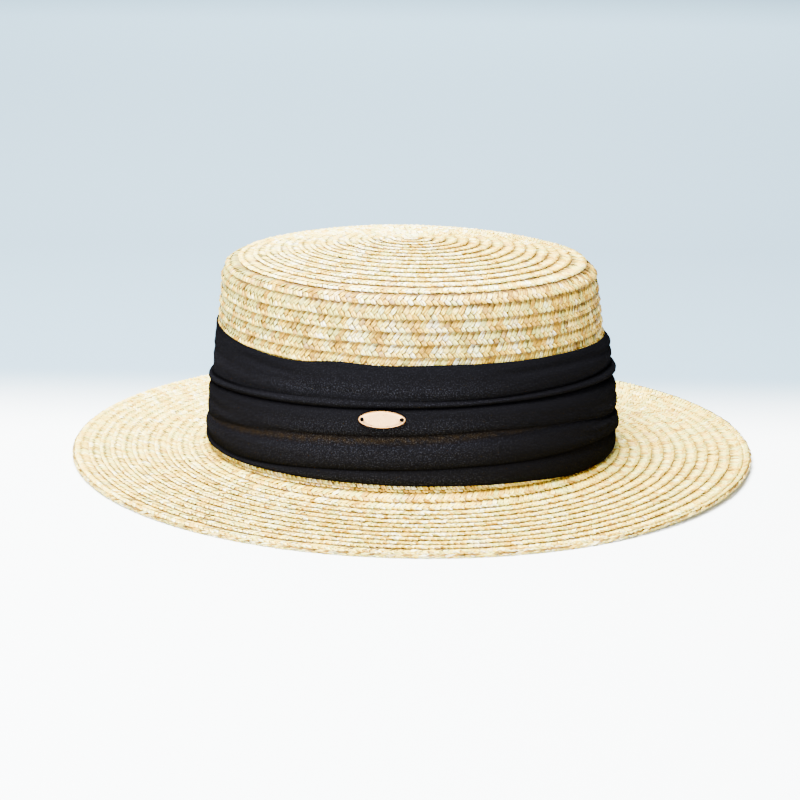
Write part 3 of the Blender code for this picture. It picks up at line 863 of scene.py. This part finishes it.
def finish_plate(plate):
    """Cut the two thread holes, round the edges and keep the result as the plate's mesh."""
    cutters = []
    for side in (-1, 1):
        bpy.ops.mesh.primitive_cylinder_add(vertices=40, radius=THREAD_HOLE / 2, depth=6 * MM)
        cutter = bpy.context.object
        middle = plate_point(side * THREAD_HOLE_SPACING / 2, 0.0, 0.0)
        facing = Vector(plate_point(side * THREAD_HOLE_SPACING / 2, 0.0, 5 * MM) - middle)
        turn = facing.to_track_quat("Z", "Y").to_matrix().to_4x4()
        cutter.matrix_world = Matrix.Translation(middle) @ turn
        cut = plate.modifiers.new("hole", "BOOLEAN")
        cut.operation, cut.object, cut.solver = "DIFFERENCE", cutter, "EXACT"
        cutters.append(cutter)
    round_edges = plate.modifiers.new("edges", "BEVEL")
    round_edges.width, round_edges.segments, round_edges.limit_method = 0.08 * MM, 2, "ANGLE"
    round_edges.angle_limit = math.radians(80)
    bpy.context.view_layer.update()
    shown = plate.evaluated_get(bpy.context.evaluated_depsgraph_get())
    shown = bpy.data.meshes.new_from_object(shown)
    plate.modifiers.clear()
    plate.data = shown
    for cutter in cutters:
        bpy.data.objects.remove(cutter)
    plate.data.set_sharp_from_angle(angle=math.radians(50))


def make_plate():
    """The bare oval plate with its two thread holes."""
    turn = np.linspace(0, 2 * math.pi, PLATE_SEGMENTS, endpoint=False)
    points = []
    for share, out in PLATE_FACE[::-1] + PLATE_REAR[::-1]:
        inset = (1 - share) * PLATE_HEIGHT / 2
        half_size = PLATE_LENGTH / 2 - inset, PLATE_HEIGHT / 2 - inset
        if share < 0.80:
            half_size = PLATE_LENGTH / 2 * share, PLATE_HEIGHT / 2 * share
        points.append(plate_point(half_size[0] * np.cos(turn), half_size[1] * np.sin(turn), out * MM))
    count, middle_front = len(points), len(points) * PLATE_SEGMENTS
    points += [plate_point(0.0, 0.0, 0.65 * MM)[None], plate_point(0.0, 0.0, 0.0)[None]]
    first = np.arange(PLATE_SEGMENTS)
    last = first + (count - 1) * PLATE_SEGMENTS
    fans = [(middle_front, i, (i + 1) % PLATE_SEGMENTS) for i in first]
    fans += [(middle_front + 1, last[(i + 1) % PLATE_SEGMENTS], last[i]) for i in first]
    quads = ring_grid((count, PLATE_SEGMENTS), closed=False)[:, ::-1]
    plate = make_mesh("plate_face", np.concatenate(points), quads, np.array(fans), 50)
    plate.data.materials.append(ROSE_GOLD)
    plate.data.materials.append(RIM_PAINTED_REFLECTION)
    rows = np.arange((count - 1) * PLATE_SEGMENTS) // PLATE_SEGMENTS
    in_rim = (rows >= len(PLATE_FACE) - PLATE_RIM_ROWS) & (rows < len(PLATE_FACE))
    material_numbers = np.concatenate((in_rim, np.zeros(len(fans), bool))).astype(np.int32)
    plate.data.polygons.foreach_set("material_index", material_numbers)
    finish_plate(plate)
    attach(plate, "root")
    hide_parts("oval_plate")


def make_thread():
    """Black thread that fills the plate's two holes: three strands in each."""
    places, corners = 9, 8
    points, quads = [], []
    for side in (-1, 1):
        for strand, (lean, over) in enumerate(((0.5, 0.28), (-0.7, 0.10), (1.4, -0.22))):
            first = len(points)
            sine, cosine = math.sin(lean), math.cos(lean)
            for i in range(places):
                t = i / 4 - 1
                run = t * THREAD_HOLE * 0.46
                aside = side * THREAD_HOLE_SPACING / 2 + run * cosine - over * MM * sine
                up = run * sine + over * MM * cosine
                out = (0.30 - 0.75 * t * t) * MM + 0.05 * MM * strand
                for j in range(corners):
                    a = math.pi * j / 4
                    points.append(plate_point(aside - THREAD_RADIUS * sine * math.cos(a),
                                              up + THREAD_RADIUS * cosine * math.cos(a),
                                              out + THREAD_RADIUS * math.sin(a)))
            for i in range(first, first + (places - 1) * corners, corners):
                for j in range(corners):
                    k = (j + 1) % corners
                    quads.append([i + j, i + k, i + corners + k, i + corners + j])
    thread = make_mesh("plate_thread", np.array(points), np.array(quads))
    thread.data.materials.append(CREPE)
    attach(thread, "root")


# Materials of the band and plate

CREPE_COLOURS = (0.0023, 0.0023, 0.0029, 1), (0.0205, 0.0215, 0.0290, 1)  # the ground and the grain
THIN_CREPE_COLOURS = (0.0062, 0.0045, 0.0032, 1), (0.032, 0.025, 0.018, 1)
CREASE_SHADE_COLOUR = (0.0006, 0.0006, 0.0007, 1)


def crepe_material():
    """Black crepe with a fine grain, and a brown cast where it lies thin over the straw."""
    material, tree, shader = new_material("black_crepe")
    place = node(tree, "ShaderNodeUVMap", uv_map="flat").outputs[0]
    stretched = node(tree, "ShaderNodeMapping", {0: place, 3: (1.0, 1.35, 1)}).outputs[0]
    grain = noise(tree, stretched, 1.55, 3.0)
    # The sheer attribute holds the thin streak, the painted crease shade and the painted sheen
    sheer = node(tree, "ShaderNodeAttribute", attribute_name="sheer", attribute_type="GEOMETRY")
    parts = node(tree, "ShaderNodeSeparateColor", {"Color": sheer.outputs["Color"]})
    thin, crease_shade, shine = parts.outputs
    # The grain's specks shine with the painted sheen
    speck = remap(tree, grain, 0.53, 0.70, 0.0, shine)
    patch = remap(tree, noise(tree, place, 0.45, 4.0), 0.36, 0.62, 0.1, 1.0)
    thick_colour = mix_colour(tree, speck, *CREPE_COLOURS)
    thin_colour = mix_colour(tree, speck, *THIN_CREPE_COLOURS)
    colour = mix_colour(tree, maths(tree, "MULTIPLY", thin, patch), thick_colour, thin_colour)
    # Painted shade in the creases
    colour = mix_colour(tree, crease_shade, colour, CREASE_SHADE_COLOUR)
    join(tree, shader, {"Base Color": colour, "Roughness": 0.62, "Specular IOR Level": 0.0,
                        "Normal": bump(tree, grain, 0.6, 0.2 * MM)})
    return material


def rose_gold_material(name, worn, clean):
    """Polished rose gold with faint wear between two colours."""
    material, tree, shader = new_material(name)
    wear = noise(tree, node(tree, "ShaderNodeTexCoord").outputs["Object"], 420.0, 4.0)
    join(tree, shader, {"Base Color": ramp(tree, wear, ((0.3, worn), (0.7, clean))), "Metallic": 1.0,
                        "Roughness": remap(tree, wear, 0.0, 1.0, 0.22, 0.34)})
    return material


CREPE = crepe_material()
ROSE_GOLD = rose_gold_material("rose_gold_plate", (0.84, 0.42, 0.16, 1), (0.96, 0.53, 0.22, 1))
# Painted darker reflection on the plate's bevelled edge
RIM_PAINTED_REFLECTION = rose_gold_material("gold_rim_painted_reflection", (0.14, 0.06, 0.014, 1), (0.30, 0.14, 0.035, 1))
make_band()
make_plate()
make_thread()

# Stage

CAMERA_PLACE = (-5.7 * MM, -856.6 * MM, 251.8 * MM)
CAMERA_DOWN = math.radians(15.07)
CAMERA_ROLL = math.radians(0.858)
CAMERA_LENS = 85.68  # on a sensor 36 wide
FLOOR_HALF = 6.0
NEAR_FLOOR_COLOUR = (0.78, 0.83, 0.85, 1)
FAR_FLOOR_COLOURS = (0.132, 0.222, 0.295, 1), (0.43, 0.70, 0.89, 1)


def make_camera():
    """The camera at the photo's angle."""
    data = bpy.data.cameras.new("camera")
    data.lens = CAMERA_LENS
    data.sensor_width = 36
    data.clip_start = 0.01
    camera = bpy.data.objects.new("camera", data)
    bpy.context.collection.objects.link(camera)
    turn = Matrix.Rotation(math.pi / 2 - CAMERA_DOWN, 4, "X") @ Matrix.Rotation(CAMERA_ROLL, 4, "Z")
    camera.matrix_world = Matrix.Translation(CAMERA_PLACE) @ turn
    bpy.context.scene.camera = camera


def make_floor():
    """A wide pale floor, whiter near the hat."""
    material, tree, shader = new_material("pale_floor")
    place = node(tree, "ShaderNodeTexCoord").outputs["Object"]
    away = node(tree, "ShaderNodeSeparateXYZ", {0: place}).outputs["Y"]
    behind = mix_colour(tree, remap(tree, away, 0.5, 2.9), *FAR_FLOOR_COLOURS)
    colour = mix_colour(tree, remap(tree, away, 0.0, 0.14, kind="SMOOTHSTEP"), NEAR_FLOOR_COLOUR, behind)
    join(tree, shader, {"Base Color": colour, "Roughness": 0.7})
    mesh = bpy.data.meshes.new("floor")
    corners = [(x * FLOOR_HALF, y * FLOOR_HALF, 0) for x, y in ((-1, -1), (1, -1), (1, 1), (-1, 1))]
    mesh.from_pydata(corners, [], [(0, 1, 2, 3)])
    mesh.materials.append(material)
    floor = bpy.data.objects.new("floor", mesh)
    bpy.context.collection.objects.link(floor)


def make_light(name, place, aim, size, power, colour):
    """A soft square light that faces a point."""
    data = bpy.data.lights.new(name, "AREA")
    data.size = size
    data.energy = power
    data.color = colour
    light = bpy.data.objects.new(name, data)
    light.location = place
    light.rotation_euler = (Vector(aim) - Vector(place)).to_track_quat("-Z", "Y").to_euler()
    bpy.context.collection.objects.link(light)


def make_world():
    """Even pale light from all round."""
    world = bpy.data.worlds.new("studio")
    world.use_nodes = True
    background = world.node_tree.nodes["Background"]
    join(world.node_tree, background, {"Color": (0.93, 0.96, 1.0, 1), "Strength": 0.34})
    bpy.context.scene.world = world


make_camera()
make_floor()
make_world()
make_light("key", (-0.30, -0.32, 1.46), (0, 0, 0.04), 0.8, 285, (1.0, 0.99, 0.97))
make_light("front", (-0.35, -1.7, 0.9), (0, 0, 0.06), 0.8, 36, (1.0, 0.99, 0.97))
make_light("back", (0.0, 2.4, 2.6), (0, 2.4, 0.0), 2.5, 260, (0.97, 0.99, 1.0))
